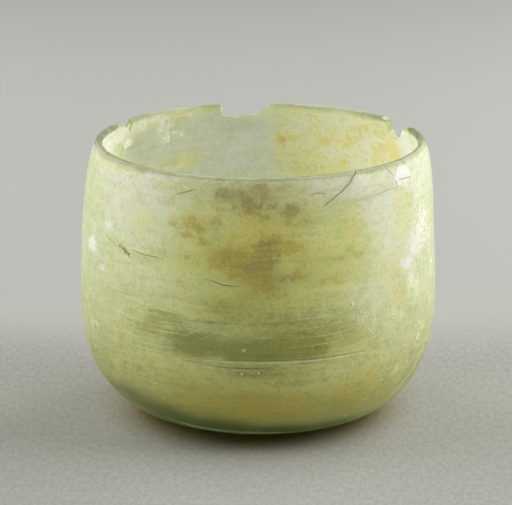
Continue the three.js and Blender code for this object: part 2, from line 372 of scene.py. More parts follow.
def make_piece(name, points, faces, materials, slots=None, smooth_to=40, flat_slot=-1):
    """A mesh piece, shaded smooth but for edges sharper than some degrees and for one material slot."""
    mesh = bpy.data.meshes.new(name)
    mesh.from_pydata(points.tolist(), [], [tuple(map(int, f)) for f in faces])
    for material in materials:
        mesh.materials.append(material)
    if slots is not None:
        mesh.polygons.foreach_set("material_index", np.asarray(slots, np.int32))
    mesh.set_sharp_from_angle(angle=math.radians(smooth_to))
    index = np.zeros(len(mesh.polygons), np.int32)
    mesh.polygons.foreach_get("material_index", index)
    mesh.polygons.foreach_set("use_smooth", index != flat_slot)
    mesh.update()
    piece = put(name, mesh)
    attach(piece, BODY)
    return piece


def add_field(piece, name, values):
    """A number on each point of a piece, for its material to read."""
    attribute = piece.data.attributes.new(name, "FLOAT", "POINT")
    attribute.data.foreach_set("value", np.asarray(values, np.float32))


class Look:
    """A material and its node graph, put together from numbers, colours, outputs of nodes, and names. A name
    stands for the value kept under it, or else for a number that the mesh carries."""

    def __init__(self, name):
        self.material = bpy.data.materials.new(name)
        self.material.use_nodes = True
        self.tree = self.material.node_tree
        self.tree.nodes.clear()
        self.kept = {}
        self.place = self.node("TexCoord").outputs["Object"]

    def node(self, kind, inputs=None, **settings):
        """A shader node with its settings, and its inputs by name or number."""
        inputs = {key: self.value(given) for key, given in (inputs or {}).items()}
        made = self.tree.nodes.new("ShaderNode" + kind)
        for key, value in settings.items():
            setattr(made, key, value)
        for key, value in inputs.items():
            socket = made.inputs[key]
            if isinstance(value, bpy.types.NodeSocket):
                self.tree.links.new(value, socket)
            else:
                socket.default_value = (*value[:3], 1) if socket.type == "RGBA" else value
        return made

    def field(self, name):
        """A number that the mesh carries."""
        return self.node("Attribute", attribute_name=name).outputs["Fac"]

    def value(self, given):
        """What is given, or what it stands for if it's a name."""
        if not isinstance(given, str):
            return given
        if given not in self.kept:
            self.kept[given] = self.field(given)
        return self.kept[given]

    def math(self, operation, *values):
        """Arithmetic on one, two or three values."""
        return self.node("Math", dict(enumerate(values)), operation=operation).outputs[0]

    def times(self, first, second):
        """Two values multiplied."""
        return self.math("MULTIPLY", first, second)

    def step(self, value, low, high, bottom=0.0, top=1.0):
        """A soft step of a value, from bottom at low to top at high."""
        inputs = {"Value": value, "From Min": low, "From Max": high, "To Min": bottom, "To Max": top}
        return self.node("MapRange", inputs, interpolation_type="SMOOTHSTEP").outputs[0]

    def noise(self, scale, stretch=(1, 1, 1), detail=4.0, roughness=0.55, shift=(0, 0, 0), distortion=0.0,
              turn=0.0):
        """Noise about nought, mostly between -1 and 1, in waves per metre, turned about the x axis and then
        drawn out by stretch."""
        place = self.place
        if turn:
            turned = self.node("VectorRotate", {"Vector": place, "Angle": turn}, rotation_type="X_AXIS")
            place = turned.outputs[0]
        mapped = self.node("Mapping", {"Vector": place, "Scale": stretch, "Location": shift}).outputs[0]
        inputs = {"Vector": mapped, "Scale": scale, "Detail": detail, "Roughness": roughness,
                  "Distortion": distortion}
        share = self.node("TexNoise", inputs).outputs["Fac"]
        return self.math("MULTIPLY_ADD", share, 2.4, -1.2)

    def total(self, start, *terms):
        """A starting value and any number of values, each times its weight."""
        for value, weight in terms:
            start = self.math("MULTIPLY_ADD", value, weight, start)
        return start

    def patchy(self, name, low, high, *noises):
        """How much of a finish shows: its patches, broken up by noises."""
        field = self.field(name)
        shown = self.step(self.total(0, (field, 1.15), *noises), low, high)
        return self.times(shown, self.step(field, 0.03, 0.2))

    def blend(self, share, first, second, how="MIX"):
        """Two colours mixed, or the first tinted by the second, by a share."""
        return self.node("Mix", {0: share, 6: first, 7: second}, data_type="RGBA", blend_type=how).outputs[2]

    def bump(self, height, distance, strength):
        """A normal from a height."""
        return self.node("Bump", {"Height": height, "Distance": distance, "Strength": strength}).outputs[0]

    def finish(self, shader):
        """Ends the graph and returns the material."""
        output = self.node("OutputMaterial")
        self.tree.links.new(shader, output.inputs["Surface"])
        return self.material

    def lit_through(self, shader, colour):
        """The same shader, but lamplight passes through it, tinted, as thin glass casts no solid shadow."""
        clear = self.node("BsdfTransparent", {"Color": colour}).outputs[0]
        shadow = self.node("LightPath").outputs["Is Shadow Ray"]
        return self.node("MixShader", {0: shadow, 1: shader, 2: clear}).outputs[0]

    def surface(self, **inputs):
        """A Principled shader as the whole surface."""
        names = {key.replace("_", " "): value for key, value in inputs.items()}
        return self.node("BsdfPrincipled", names).outputs[0]


# Patches of each finish on a face of the wall: azimuth, height, half width and half height in millimetres,
# and strength
PATCHES = {
    ("ochre", OUTER): (
        (-112, 65.2, 2.6, 2.4, 0.75), (-113, 61.8, 3.4, 1.2, 0.7), (-108.5, 63.8, 1.8, 3, 0.7),
        (-104, 65.6, 1.9, 1.6, 0.75), (-107, 59.9, 2.6, 1.2, 0.75), (-99, 56.6, 6.4, 3.6, 0.95),
        (-94, 52.6, 5.6, 3.6, 0.9), (-87, 59.5, 4.4, 3.2, 1), (-88.5, 54.4, 3.6, 5, 1),
        (-80, 59, 4.2, 2, 0.75), (-86, 47.6, 5.2, 3.2, 0.85), (-93, 46.6, 4.2, 1.6, 0.6),
        (-76, 56.8, 3, 1.2, 0.6), (-75, 65.6, 7.6, 1.6, 0.6), (-64, 55.3, 7.7, 1.1, 0.6),
        (-53, 59.1, 1.8, 1.1, 0.7), (-60, 57.6, 1.9, 1.1, 0.8), (-55, 55.6, 3.4, 1.4, 0.6),
        (-77, 51.2, 4.4, 2, 0.75), (-65, 49.4, 7.5, 1.4, 0.45), (-126, 34.1, 4.8, 1.7, 0.35),
        (-113, 20, 7, 3, 0.4), (-118, 64.8, 1.9, 1.4, 0.5), (-130, 53.4, 4.1, 1.2, 0.45),
        (-37, 43.6, 2.9, 3.9, 0.5), (-85, 68.4, 9.3, 2.6, 0.6), (-70, 31.9, 5.7, 2.5, 0.35),
        (-91, 14.7, 17.5, 4.3, 0.35), (-113, 56.3, 5, 3, 0.4), (20, 50, 8, 5, 0.7), (75, 60, 12, 6, 0.6),
        (140, 45, 9, 6, 0.5),
    ),
    ("golden", INNER): (
        (62, 67.5, 22, 9, 0.45), (38, 67, 12, 9, 0.5), (148, 72.5, 3, 3, 0.4), (81, 63.5, 4, 3.5, 0.35),
        (75, 66.5, 5, 2.5, 0.35), (117, 59.6, 3.5, 1.3, 0.6), (82, 66.1, 2.5, 1.2, 0.85),
        (76, 66.9, 2.9, 1.1, 0.6), (82, 71, 1.6, 1.3, 0.6), (79, 69, 1.3, 0.9, 0.45),
        (65, 66.8, 2.7, 1.5, 0.75), (57, 66.6, 3.3, 1.2, 0.6), (71, 62.3, 2.9, 0.9, 0.6),
        (75, 63.9, 1.9, 1.2, 0.42), (58, 61.4, 2.2, 2.4, 0.6), (50, 70.2, 3.2, 1.6, 0.45),
        (44, 73.1, 4.6, 2.3, 0.45), (38, 68.8, 4.4, 2.5, 0.5), (32, 66.9, 2.8, 2.5, 0.6),
        (42, 63.8, 4.1, 1.5, 0.5), (54, 71.9, 3.1, 1.3, 0.42), (61, 70.5, 2.1, 0.9, 0.4),
        (74, 59.7, 3.2, 0.9, 0.3), (64, 62.6, 1.7, 1.2, 0.32), (48, 65.8, 2.1, 1.5, 0.35),
        (78, 75, 3, 1, 0.3), (71, 74.7, 2.7, 1, 0.35), (116, 59.8, 2.7, 0.9, 0.8),
        (122, 59.5, 3.2, 0.8, 0.5), (98, 55.7, 1.6, 0.9, 0.5),
    ),
    ("brown", OUTER): (
        (-94, 71.6, 9.3, 4.2, 0.7), (-79, 69.5, 4.6, 2.1, 0.7), (-87.5, 60, 2.8, 2.4, 0.85),
        (-85, 56.2, 1.8, 2.6, 0.7), (-102, 73.9, 3.4, 1.8, 0.6), (-92, 53.9, 4.2, 3.2, 0.6),
        (-78, 46, 6.6, 2.7, 0.25), (-86, 75.2, 6.8, 1.5, 0.55), (-83, 50.8, 4.9, 2.2, 0.5),
    ),
    ("brown", INNER): (
        (81, 66.2, 1.9, 0.9, 0.4),
    ),
    ("amber", OUTER): (
        (-90, 58, 18, 12, 0.75), (-110, 62, 8, 7, 0.35), (-70, 56, 15, 9, 0.55), (-60, 63, 7, 5, 0.5),
        (-88, 44, 18, 7, 0.6), (-126, 38, 9, 5, 0.25), (-70, 34, 15, 6, 0.5), (-92, 13, 22, 6, 0.8),
        (-55, 14, 12, 7, 0.6), (-130, 63, 7, 5, 0.35), (-40, 46, 6, 9, 0.4), (-122, 20, 9, 5, 0.15),
        (-37, 62, 5, 6, 0.4), (40, 45, 30, 14, 0.5), (140, 55, 25, 14, 0.5),
    ),
    ("amber", INNER): (
        (75, 67.9, 9.2, 6.2, 0.1), (39, 70.2, 10.2, 7, 0.12), (60, 60.5, 13.9, 3.7, 0.15),
        (119, 61.3, 7.8, 2.1, 0.7), (113, 63.2, 2.7, 1.8, 0.5), (98, 56.3, 5, 1.5, 0.5),
    ),
    ("amber", BOTH): (
        (110, 76.8, 5, 1.3, 0.5),
    ),
    ("white", OUTER): (
        (-147, 59.8, 2.3, 1.2, 1), (-158, 52.4, 4.2, 2.5, 0.9), (-151, 47.1, 2.5, 1.1, 0.7),
        (-155, 29.7, 3.7, 2.3, 0.55), (-160, 35.8, 3.8, 4.6, 0.5), (-127, 76, 5.2, 1, 0.7),
        (-137, 74.2, 9.6, 1.1, 0.5), (-118, 76.2, 4, 0.7, 0.6), (-33.6, 73.4, 5.2, 3, 0.9),
        (-39, 72.6, 1.4, 1.6, 0.8), (-29, 53.4, 5.2, 4.4, 0.68), (-25, 56.8, 4.2, 5.6, 0.62),
        (-34, 49.4, 3.6, 2.2, 0.5), (-39, 46.5, 2.4, 2, 0.45), (-36, 50, 3.9, 2.5, 0.62),
        (-21, 58.7, 5.4, 6.8, 0.6), (-31, 42.4, 5, 4.8, 0.5), (-40, 36.8, 3.1, 2.5, 0.65),
        (-55, 38.9, 3.4, 2.4, 0.55), (-58.5, 41.6, 1.9, 1.2, 0.55), (-52, 33.8, 1.6, 1.2, 0.6),
        (-50.5, 36.4, 1.8, 2, 0.5), (-36, 20.1, 4.1, 1.8, 0.5), (-48, 14.2, 1.6, 1.9, 0.5),
        (-26, 28.5, 3.5, 6.7, 0.5), (-42, 17.5, 4, 1.2, 0.5), (-52, 11.5, 3, 1, 0.5),
        # the two low patches at heights of 4.3 and 3.7 millimetres paint a highlight along the foot's lower
        # edge
        (-16, 46.8, 3.4, 8.6, 0.5), (-25, 64.7, 5.2, 6, 0.4), (-118, 4.3, 9, 0.6, 0.6),
        (-98, 3.7, 8, 0.5, 0.5), (10, 40, 9, 6, 0.6), (100, 30, 12, 4, 0.6), (170, 60, 8, 6, 0.7),
    ),
    ("white", INNER): (
        (161, 72.8, 4.4, 3.8, 1), (152, 73.5, 5.4, 2.8, 1), (145, 70, 2.7, 1.6, 0.8),
        (139, 74.5, 2.5, 2.3, 0.75), (129, 75, 3.8, 2, 0.6), (129, 70.7, 2, 1.6, 0.8),
        (126, 68.5, 1.5, 1.5, 0.8), (120, 69.3, 2.9, 1.6, 0.75), (124, 72.8, 3.4, 1.9, 0.5),
        (23, 70.5, 3.2, 2.6, 0.9), (172, 72.5, 4.2, 4.6, 1), (13, 72, 3, 5, 0.75),
    ),
    ("cream", OUTER): (
        (-133, 64.9, 16.4, 9.3, 0.9), (-141, 71.7, 14.3, 3.2, 0.7), (-66, 74.2, 8.1, 2.3, 0.6),
        (-48, 67.8, 8.5, 6, 0.8), (-41, 58.4, 10.5, 8.3, 0.7), (-99, 64.6, 6.6, 2.4, 0.5),
        (-73, 60.9, 6.9, 2.4, 0.5), (-101, 76.7, 17.7, 1, 0.6), (-76, 76.6, 14.9, 1, 0.5),
        (-151, 54, 8.6, 13, 0.4), (-134, 48.1, 13.4, 5, 0.4), (-36, 30.8, 10.8, 12.7, 0.3),
        (-61, 73.2, 4.6, 3.1, 0.5), (-147, 33, 8.6, 8.6, 0.1), (-77, 55.2, 6.1, 2.2, 0.4),
        (-122, 24, 15, 5, 0.3), (-92, 17, 24, 4.5, 0.3), (-60, 22, 14, 6, 0.4), (-46, 44, 8.5, 5.6, 0.5),
        (-56, 74, 9, 4, 0.45), (-22, 70, 9, 8, 0.6),
    ),
    ("cream", INNER): (
        (58, 67.2, 21.1, 8.6, 1), (80, 63.1, 8.2, 6.1, 0.7), (134, 76, 11.4, 1.9, 0.7),
        (112, 75.6, 10.4, 1.6, 0.6), (25, 71.1, 6.8, 4.2, 0.9), (121, 62.1, 9.3, 3.6, 0.45),
        (62, 74.1, 17.9, 2.5, 0.8), (38, 68, 12, 9, 1), (8, 72, 12, 8, 1), (166, 72, 10, 7, 1),
    ),
    ("bare", OUTER): (
        (-121, 38.4, 5.5, 2.6, 0.8), (-129, 33.4, 4, 1.4, 0.6), (-120, 58.9, 2.6, 2.2, 0.4),
        (-109, 55.5, 2.6, 2.4, 0.35), (-136, 44.5, 5, 3, 0.35), (-60, 70, 5, 3, 0.2),
    ),
    ("bare", BOTH): (
        (-91, 31.3, 10.7, 3.4, 0.8), (-74, 30.7, 5.8, 3.6, 0.9), (-110, 32, 8.5, 4, 0.95),
        (-126, 35, 6, 3.5, 0.4), (-99, 41.7, 9.2, 4.4, 0.5), (-92, 25, 7.1, 1.8, 0.6),
        (-143, 11, 12, 3, 0.9), (-128, 7.8, 11, 3.4, 1), (-107, 6, 12, 2.6, 1), (-81, 4.8, 14, 2.2, 0.8),
        (-80, 37.5, 12, 5, 0.6), (-64, 35.4, 6.4, 5.6, 0.45), (-58, 5.1, 10.7, 2, 0.6),
    ),
    # painted shade: the skin greyed on the left and right sides, where the wall is seen edge-on from the
    # front
    ("grey", OUTER): (
        (-178, 48, 26, 40, 1), (-152, 40, 9, 26, 0.35), (-2, 48, 27, 42, 1), (-33, 30, 8, 14, 0.35),
    ),
    ("grey", INNER): (
        (4, 72, 6, 7, 0.7), (176, 71, 5, 6, 0.4),
    ),
    ("clear", BOTH): (
        (99, 66.2, 17, 11.4, 1), (130, 66.5, 13.4, 7, 0.95), (106, 58.3, 14.9, 4.7, 0.8),
        (112, 72.5, 10, 3, 0.6), (70, 63.6, 2.6, 2.4, 0.4), (73, 70.3, 3.6, 1.6, 0.4),
        (72, 65.3, 2.2, 1, 0.4),
    ),
    ("scratched", OUTER): (
        (-126, 39.2, 15, 6.1, 1), (-106, 37.7, 11.2, 8.3, 0.6), (-77, 34.3, 11, 6.2, 0.5),
        (-96, 38, 14, 3, 0.3), (-144, 39.3, 9.8, 6.8, 0.4), (60, 36, 30, 6, 0.5), (160, 32, 24, 5, 0.5),
        (0, 34, 20, 5, 0.4),
    ),
    ("stain", INNER): (
        (-94, 71.6, 9.5, 3.8, 0.8), (-79, 69.5, 5, 2, 0.6), (-88, 59, 4, 2.6, 0.5), (-97, 55.4, 6, 4, 0.5),
        (-86, 51, 7, 3.5, 0.6), (-84, 74.6, 8, 1.6, 0.5),
    ),
}
# The worn window at the front above the cut line: azimuths and heights in millimetres between which it lies
WORN_WINDOW = (-101.5, -76, 27.9, 35)


def patch_field(finish, azimuth, z, side):
    """How strongly a finish lies at each point: flat-topped hills over the patches on the point's own face.
    Where hills overlap the stronger one counts, and a quarter of the rest."""
    strongest = total = np.zeros(azimuth.shape)
    rows = [(face, *row) for face in (OUTER, INNER, BOTH) for row in PATCHES.get((finish, face), ())]
    for face, middle, height, wide, high, strength in rows:
        turn = (azimuth - middle + 180) % 360 - 180
        u, v = np.radians(turn) * BELLY_RADIUS / (wide * MM), (z - height * MM) / (high * MM)
        hill = np.where((side == face) | (face == BOTH), strength * np.exp(-0.7 * (u * u + v * v) ** 1.3), 0)
        strongest = np.maximum(strongest, hill)
        total = total + hill
    return strongest + 0.25 * (total - strongest)


# Cracks that don't part the glass, and scratches, bright where they have gone through the skin; the bright
# line along the foot is no scratch but a painted highlight of the foot's lower edge: the widest half width in
# millimetres, then azimuths and heights in millimetres along each, by turns
CRACKS = (
    (0.09, -149.4, 57, -145.3, 56, -141.4, 54.8, -139.6, 54.6),
    (0.5, -140.6, 55.3, -137.6, 53.9, -134.6, 52.8),
    (0.1, -135.2, 54.9, -132.7, 54.94, -128, 54.56, -124.1, 54.6, -120.6, 54.31),
    (0.13, -118.5, 72.1, -116.4, 72.7, -114.6, 73.14, -111.7, 74.04),
    (0.11, -106.6, 50.6, -103.7, 49.84, -100.8, 49.04, -97.7, 48.84, -94.9, 48.92),
    (0.08, -74.5, 72.2, -72.9, 73.04, -70.7, 73.23, -68, 72.78), (0.14, -39.5, 73.7, -38.6, 71.7, -37.7, 71),
    (0.1, -37.6, 72.8, -33.6, 72.6, -29.3, 72.5),
    (0.06, -102, 28.5, -90, 28.2, -76, 28.1, -62, 28.1, -52, 28.2),
    (0.07, -116.3, 27.3, -111.6, 27, -106.2, 26.6, -100.7, 26.1, -92, 25.9, -84, 25.9),
)
SCRATCHES = (
    (0.13, -141.5, 41.9, -134, 41.6, -127.7, 41.2, -121.9, 40.5, -116.5, 40.2, -111.1, 40),
    (0.12, -147.9, 37.9, -139.6, 37.2, -132.6, 36.4, -126.2, 35.6), (0.13, -123.5, 36.9, -116.9, 37),
    (0.1, -123.5, 34.6, -116, 34.2), (0.13, -143.8, 31.8, -135, 31.6, -127.4, 31.1),
    (0.08, -135.5, 28.5, -126, 28.4, -116.3, 28.5), (0.1, -142.2, 35.5, -132, 34.9),
    (0.08, -138, 39.4, -129, 38.9, -119, 38.7), (0.08, -136, 33.4, -128, 33.1, -121, 32.6),
    (0.07, -132, 43.6, -122, 43, -112, 42.9), (0.07, -146, 43.4, -138, 43.2),
    (0.06, -131, 30, -121, 30, -115, 30.2), (0.06, -114.8, 33.3, -108.1, 36.4, -100.2, 38.6),
    (0.05, -111.5, 31.7, -104.3, 35.1, -97.5, 36.8), (0.05, -94, 34.4, -84, 34.9),
    (0.05, -84, 31.5, -70, 31.9, -60, 32.8), (0.05, -80, 36.5, -66, 37, -57, 38),
    (0.05, -82, 39.2, -70, 39.6, -60, 40.5), (0.05, -76, 34, -64, 34.6, -55, 35.8),
    (0.06, -70, 29.6, -58, 30.3, -46, 32),
    (0.14, -116.3, 28.1, -108.9, 27.8, -101.9, 27.6, -90, 27.5, -76, 27.4, -50, 27.5),
    (0.09, -108.8, 25.9, -103.5, 25.5, -98.3, 25.3, -86, 25.4),
    # a painted highlight along the foot's lower edge, not a scratch
    (0.5, -131, 6.5, -124.7, 5.2, -120.6, 4.6, -115.6, 4.1, -110.4, 3.9, -104, 3.6, -88.7, 3.3, -71, 3.1),
    (0.35, -17.5, 26.4, -18.6, 21.7, -22.2, 18.1, -26.2, 14.2, -31.4, 11.3, -35.8, 9.7),
    (0.22, -15.4, 49, -14.8, 41.7, -16.3, 34.9, -18, 30.1), (0.1, 58, 36.2, 84, 35.4),
    (0.1, 150, 30, 171, 31), (0.1, -4, 40, 14, 40.6),
)
SHERD_CRACKS = ((LEFT_CRACK, 0.19), (RIGHT_CRACK, 0.13))
# A line's field in millimetres: what counts as far off, how far the field reaches, and how near it holds even
# where the next line isn't further off by the clearance
FAR_OFF = 9.0
LINE_REACH = 1.4
LINE_CORE = 0.35
LINE_CLEARANCE = 0.9


def line_fields(azimuth, z, paths):
    """Signed distance to the nearest of some lines and its half width there, in millimetres. The half width
    is nought far off and half way between two lines, where the sign turns over. Each path comes with its
    widest half width and whether it tapers at its ends."""
    flat = np.stack([np.radians(azimuth) * BELLY_RADIUS, z], axis=1) / MM
    nearest, second, width = np.full(len(flat), FAR_OFF), np.full(len(flat), FAR_OFF), np.zeros(len(flat))
    for path, half, taper in paths:
        path = np.array(path) * (math.pi / 180 * BELLY_RADIUS / MM, 1)
        lengths = np.linalg.norm(np.diff(path, axis=0), axis=1)
        whole = lengths.sum()
        run, own, own_width = 0, np.full(len(flat), FAR_OFF), np.zeros(len(flat))
        for a, b, length in zip(path[:-1], path[1:], lengths):
            along = (b - a) / length
            t = (flat - a) @ along
            side = (flat - a) @ np.array([-along[1], along[0]])
            distance = np.linalg.norm(flat - a - np.clip(t, 0, length)[:, None] * along, axis=1)
            share = (run + t) / whole
            thin = np.clip(np.minimum(share, 1 - share) * 5, 0, 1) if taper else smooth(-0.02, 0.05, share)
            nearer = distance < np.abs(own)
            own = np.where(nearer, np.copysign(distance, side), own)
            own_width = np.where(nearer, half * thin, own_width)
            run += length
        closer = np.abs(own) < np.abs(nearest)
        second = np.minimum(second, np.where(closer, np.abs(nearest), np.abs(own)))
        nearest, width = np.where(closer, own, nearest), np.where(closer, own_width, width)
    away = np.abs(nearest)
    clear = (away < LINE_CORE) | (second - away > LINE_CLEARANCE)
    return nearest, np.where((away < LINE_REACH) & clear, width, 0)


def worn_window(azimuth, height):
    """How far the skin is worn away in the window above the cut line."""
    left, right, low, high = WORN_WINDOW
    window = (0.35 + 0.65 * smooth(left - 1.2, left + 3, azimuth)) * smooth(left - 15, left - 12, azimuth)
    window = window * smooth(right + 4, right - 4, azimuth)
    return window * smooth(low - 0.4, low + 0.4, height) * smooth(high + 3, high - 3, height)


def painted_lip_shade(x, y, inwards, down):
    """How dark the lip is painted, as painted shade where the glass is seen edge-on, from a point's place,
    and how far it lies inside the outer face and below the rim, in millimetres: darkest at the front, and
    widest at the two ends of the rim."""
    end = smooth(37, 42, np.abs(x)) * smooth(-9, 3, y)
    outward = 0.2 - 0.12 * smooth(-34, -43, y)
    edge = outward * smooth(-0.6, -0.3, inwards) + (1 - outward) * smooth(0.15, 0.38, inwards)
    edge = edge + end * (smooth(-1.6, -0.8, inwards) - edge)
    edge = edge * smooth(1.5 + 0.5 * end, 0.8 + 0.5 * end, down)
    return edge * (0.2 + 0.5 * smooth(38, 26, y) + 0.3 * smooth(-10, -30, y) + 0.2 * end)


def finish_fields(piece, points, side):
    """Puts on a piece all the fields that the glass material reads."""
    z = points[:, 2]
    x, y = points[:, 0] - np.interp(z, WANDER_HEIGHTS, WANDER_X), points[:, 1]
    azimuth, radius = np.degrees(np.arctan2(y, x)), np.hypot(x, y)
    fields = {name: patch_field(name, azimuth, z, side) for name in GLASS_FIELDS}
    worn = np.maximum(fields["bare"], 0.9 * worn_window(azimuth, z / MM))
    fields["bare"] = worn * smooth(14 * MM, 26 * MM, radius)
    for name, values in fields.items():
        add_field(piece, name, values)
    cracks, scratches = ([(np.reshape(path, (-1, 2)), half, True) for half, *path in rows]
                         for rows in (CRACKS, SCRATCHES))
    cracks += [([(a, h / MM) for h, a in crack], half, False) for crack, half in SHERD_CRACKS]
    for name, paths in (("crack", cracks), ("scratch", scratches)):
        distance, width = line_fields(azimuth, z, paths)
        add_field(piece, name, distance)
        add_field(piece, name + "_half", np.where(side == OUTER, width, 0))
    add_field(piece, "height", z / RIM_HEIGHT)
    inwards = outer_radius(np.minimum(z, RIM_HEIGHT)) - radius
    add_field(piece, "lip", painted_lip_shade(x / MM, y / MM, inwards / MM, (RIM_HEIGHT - z) / MM))
    add_field(piece, "inside", side == INNER)


# Noises that break up the finishes, from dust to clouds, with streaks along the strokes of a wheel and of a
# cloth: waves per metre, stretch, detail, roughness, shift, distortion and turn
EVEN = (1, 1, 1)
NOISES = {
    "dust": (3000, EVEN, 2, 0.7),
    "fine": (1000, EVEN, 4, 0.7),
    "blotch": (300, EVEN, 5, 0.66, (3, 1, 7), 0.4),
    "cloud": (75, EVEN, 4, 0.6),
    "hue": (150, EVEN, 4, 0.62, (9, 4, 2)),
    "brushed": (130, (1, 1, 7), 5, 0.68, (5, 2, 8)),
    "level": (55, (1, 1, 14), 5, 0.62),
    "streak": (36, (1, 1, 50), 4, 0.6, (1, 5, 2)),
    "wiped": (330, (1, 1, 0.28), 4, 0.66, (0, 0, 0), 0, 0.6),
}
MOTTLE = (("fine", 0.6), ("dust", 0.35), ("blotch", 0.4), ("brushed", 0.3), ("level", 0.25), ("hue", 0.15))
# Finishes that lie in patches: between which sums of field and noises each comes up, and the noises' weights
FINISHES = {
    "scratched": (0.1, 0.7, ("blotch", 0.4)),
    "amber": (0, 1.1, ("hue", 0.4), ("blotch", 0.3), ("brushed", 0.15)),
    "ochre": (0.3, 1.05, ("blotch", 1.2), ("fine", 1.3), ("hue", 0.4)),
    "golden": (-0.05, 0.98, ("blotch", 1), ("fine", 0.8), ("hue", 0.4)),
    "brown": (0.33, 1.05, ("blotch", 1.1), ("fine", 0.6)),
    "white": (0.35, 0.95, ("wiped", 0.7), ("fine", 0.6), ("dust", 0.4), ("blotch", 0.25)),
}
GLASS_FIELDS = (*FINISHES, "cream", "bare", "grey", "clear")
# Colours that vary: with what and between which of its values, and from which colour to which
SHADES = {
    # the glass darker and greener towards the foot: partly its thicker green glass, partly painted shade
    "deep": ("height", 0.02, 0.16, (0.34, 0.45, 0.25), (0.70, 0.72, 0.42)),
    "glass": ("height", 0.16, 0.7, "deep", (0.95, 1, 0.88)),
    "haze": ("hue", -0.5, 0.5, (0.93, 0.97, 0.74), (0.98, 0.96, 0.70)),
    "rich": ("inside", 0, 1, (0.97, 0.98, 0.86), (0.99, 0.98, 0.94)),
    "milk": ("creamy", 0.1, 1, "haze", "rich"),
    "soil": ("mottle", -0.5, 0.4, (0.46, 0.38, 0.09), (0.76, 0.69, 0.25)),
    "lace": ("golden", 0.45, 1, (1, 0.96, 0.80), (0.85, 0.77, 0.42)),
    "dirt": ("mottle", -0.5, 0.4, (0.39, 0.33, 0.14), (0.63, 0.56, 0.29)),
    "lime": ("height", 0.6, 0.3, (0.99, 0.98, 0.90), (0.9108, 0.9408, 0.648)),
    # the dark green of the painted shade on the lip
    "green": ("blotch", -0.3, 0.3, (0.10, 0.14, 0.06), (0.20, 0.25, 0.11)),
}
# Layers of colour on the skin, from the lowest: how each is laid on, where, how strongly, and its colour
LAYERS = (
    ("MULTIPLY", "grime", 1, (0.68, 0.69, 0.46)),
    # painted shade: worn patches darkened for the dark inside seen through them
    ("MULTIPLY", "bare_painted_shade", 1, (0.72, 0.70, 0.53)),
    # the worn foot greener and darker: partly its thick green glass, partly painted shade
    ("MULTIPLY", "foot_green_and_painted_shade", 1, (0.74, 0.92, 0.80)),
    # painted shade greying the sides seen edge-on
    ("MULTIPLY", "grey", 1, (0.76, 0.79, 0.81)),
    ("MULTIPLY", "worn", 0.6, (0.70, 0.73, 0.50)),
    ("MIX", "lines", 0.25, (0.98, 0.97, 0.78)),
    ("MULTIPLY", "amber", 1, (0.95, 0.88, 0.54)),
    ("MIX", "ochre", 0.9, "soil"),
    ("MIX", "golden", 0.85, "lace"),
    ("MIX", "brown", 0.85, "dirt"),
    ("MIX", "white", 1, "lime"),
    # painted shade: the top of the rim darker, as it takes the most light, and the lip dark green where its
    # glass is seen edge-on, darkest at the front
    ("MULTIPLY", "rim", 1, (0.66, 0.67, 0.60)),
    ("MIX", "lip", 0.95, "green"),
    # painted highlights along the cracks and the foot, and the real bright scratches
    ("MIX", "scratches_and_highlights", 1, (0.98, 0.96, 0.78)),
    ("MIX", "line", 0.85, (0.28, 0.27, 0.07)),
)
# How far finishes and lines hide the clear glass
HIDING = (
    ("ochre", 0.8), ("golden", 0.85), ("brown", 0.8), ("white", 0.97), ("bright", 0.7), ("lip", 1),
    ("line", 0.8),
)


def crack_lines(look):
    """The dark line of a crack, and a painted highlight, a glint, along one side of it."""
    ragged = look.times("crack_half", look.total(0.9, (look.noise(900, detail=2), 0.4)))
    past = look.math("SUBTRACT", look.math("ABSOLUTE", "crack"), ragged)
    line = look.times(look.step(past, 0.08, -0.03), look.step("crack_half", 0, 0.05))
    beside = look.math("SUBTRACT", "crack", look.total(0.16, ("crack_half", 1)))
    glint = look.step(look.math("ABSOLUTE", beside), 0.16, 0.02)
    return line, look.times(glint, look.step("crack_half", 0.03, 0.11))


def scratch_lines(look):
    """The bright line of a scratch, or of the painted highlight along the foot, broken up along its length.
    """
    ragged = look.times("scratch_half", look.total(0.9, (look.noise(500, detail=3), 0.7)))
    past = look.math("SUBTRACT", look.math("ABSOLUTE", "scratch"), ragged)
    return look.times(look.step(past, 0.08, -0.04), look.step("scratch_half", 0, 0.05))


